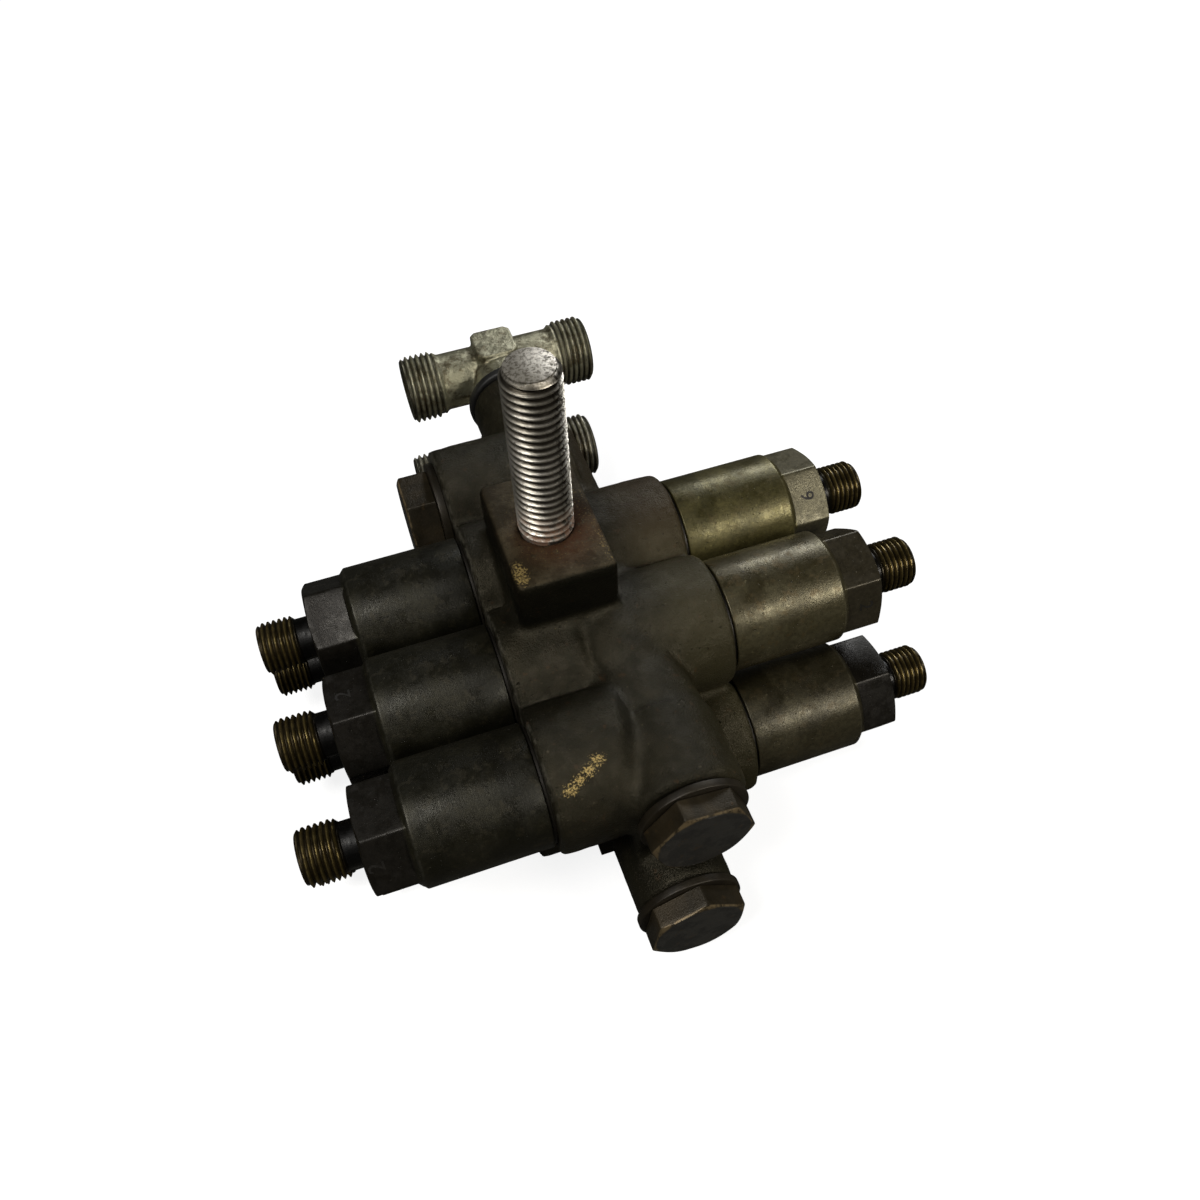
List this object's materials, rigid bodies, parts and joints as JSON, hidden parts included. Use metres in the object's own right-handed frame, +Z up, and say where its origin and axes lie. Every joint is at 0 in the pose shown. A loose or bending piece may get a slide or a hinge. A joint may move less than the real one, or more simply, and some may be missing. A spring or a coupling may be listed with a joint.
{
  "type": "lubrication divider block",
  "caption": "Cast manifold with hex metering cartridges, threaded outlets, supply tees, blank plugs and a threaded mounting stud.",
  "frame": {"origin": "on the flat underside, below the supply galleries and level with the middle upper cartridges", "axes": "+Z up along the mounting stud, +Y along the galleries towards the inlet tees, +X along the right-hand cartridges"},
  "size_m": [0.1509, 0.1667, 0.1138],
  "materials": {
    "cast_iron_body": "oily dark cast iron with worn spots",
    "stud_steel": "rolled steel thread, rust at its root",
    "cartridge_steel": "turned steel with dark oily passivation",
    "sealing_ring": "dark soft-metal ring",
    "piston_steel": "lapped steel",
    "plug_steel": "dark oily steel",
    "washer_metal": "dark soft-metal washer",
    "tee_zinc": "olive-grey zinc plating",
    "seal_rubber": "black rubber"
  },
  "bodies": {
    "distributor": {"manifold_casting": "cast_iron_body", "mounting_stud": "stud_steel", "upper_left_front_cartridge": "cartridge_steel", "upper_left_front_sealing_ring": "sealing_ring", "upper_left_middle_cartridge": "cartridge_steel", "upper_left_middle_sealing_ring": "sealing_ring", "upper_left_rear_cartridge": "cartridge_steel", "upper_left_rear_sealing_ring": "sealing_ring", "upper_right_middle_cartridge": "cartridge_steel", "upper_right_middle_sealing_ring": "sealing_ring", "upper_right_rear_cartridge": "cartridge_steel", "upper_right_rear_sealing_ring": "sealing_ring", "lower_left_front_cartridge": "cartridge_steel", "lower_left_front_sealing_ring": "sealing_ring", "lower_left_middle_cartridge": "cartridge_steel", "lower_left_middle_sealing_ring": "sealing_ring", "lower_left_rear_cartridge": "cartridge_steel", "lower_left_rear_sealing_ring": "sealing_ring", "lower_right_front_cartridge": "cartridge_steel", "lower_right_front_sealing_ring": "sealing_ring", "side_plug_washer": "washer_metal", "side_plug": "plug_steel", "upper_end_plug_washer": "washer_metal", "upper_end_plug": "plug_steel", "lower_end_plug_washer": "washer_metal", "lower_end_plug": "plug_steel", "upper_inlet_tee_seal": "seal_rubber", "upper_inlet_tee": "tee_zinc", "lower_inlet_tee_seal": "seal_rubber", "lower_inlet_tee": "tee_zinc"},
    "upper_left_front_piston": {"upper_left_front_piston": "piston_steel"},
    "upper_left_middle_piston": {"upper_left_middle_piston": "piston_steel"},
    "upper_left_rear_piston": {"upper_left_rear_piston": "piston_steel"},
    "upper_right_middle_piston": {"upper_right_middle_piston": "piston_steel"},
    "upper_right_rear_piston": {"upper_right_rear_piston": "piston_steel"},
    "lower_left_front_piston": {"lower_left_front_piston": "piston_steel"},
    "lower_left_middle_piston": {"lower_left_middle_piston": "piston_steel"},
    "lower_left_rear_piston": {"lower_left_rear_piston": "piston_steel"},
    "lower_right_front_piston": {"lower_right_front_piston": "piston_steel"}
  },
  "joints": [
    {"name": "upper_left_front_metering", "type": "slide", "parent": "distributor", "child": "upper_left_front_piston", "axis": [-1, 0, 0], "range_m": [0, 0.011]},
    {"name": "upper_left_middle_metering", "type": "slide", "parent": "distributor", "child": "upper_left_middle_piston", "axis": [-1, 0, 0], "range_m": [0, 0.011]},
    {"name": "upper_left_rear_metering", "type": "slide", "parent": "distributor", "child": "upper_left_rear_piston", "axis": [-1, 0, 0], "range_m": [0, 0.011]},
    {"name": "upper_right_middle_metering", "type": "slide", "parent": "distributor", "child": "upper_right_middle_piston", "axis": [1, 0, 0], "range_m": [0, 0.011]},
    {"name": "upper_right_rear_metering", "type": "slide", "parent": "distributor", "child": "upper_right_rear_piston", "axis": [1, 0, 0], "range_m": [0, 0.011]},
    {"name": "lower_left_front_metering", "type": "slide", "parent": "distributor", "child": "lower_left_front_piston", "axis": [-1, 0, 0], "range_m": [0, 0.011]},
    {"name": "lower_left_middle_metering", "type": "slide", "parent": "distributor", "child": "lower_left_middle_piston", "axis": [-1, 0, 0], "range_m": [0, 0.011]},
    {"name": "lower_left_rear_metering", "type": "slide", "parent": "distributor", "child": "lower_left_rear_piston", "axis": [-1, 0, 0], "range_m": [0, 0.011]},
    {"name": "lower_right_front_metering", "type": "slide", "parent": "distributor", "child": "lower_right_front_piston", "axis": [1, 0, 0], "range_m": [0, 0.011]}
  ]
}
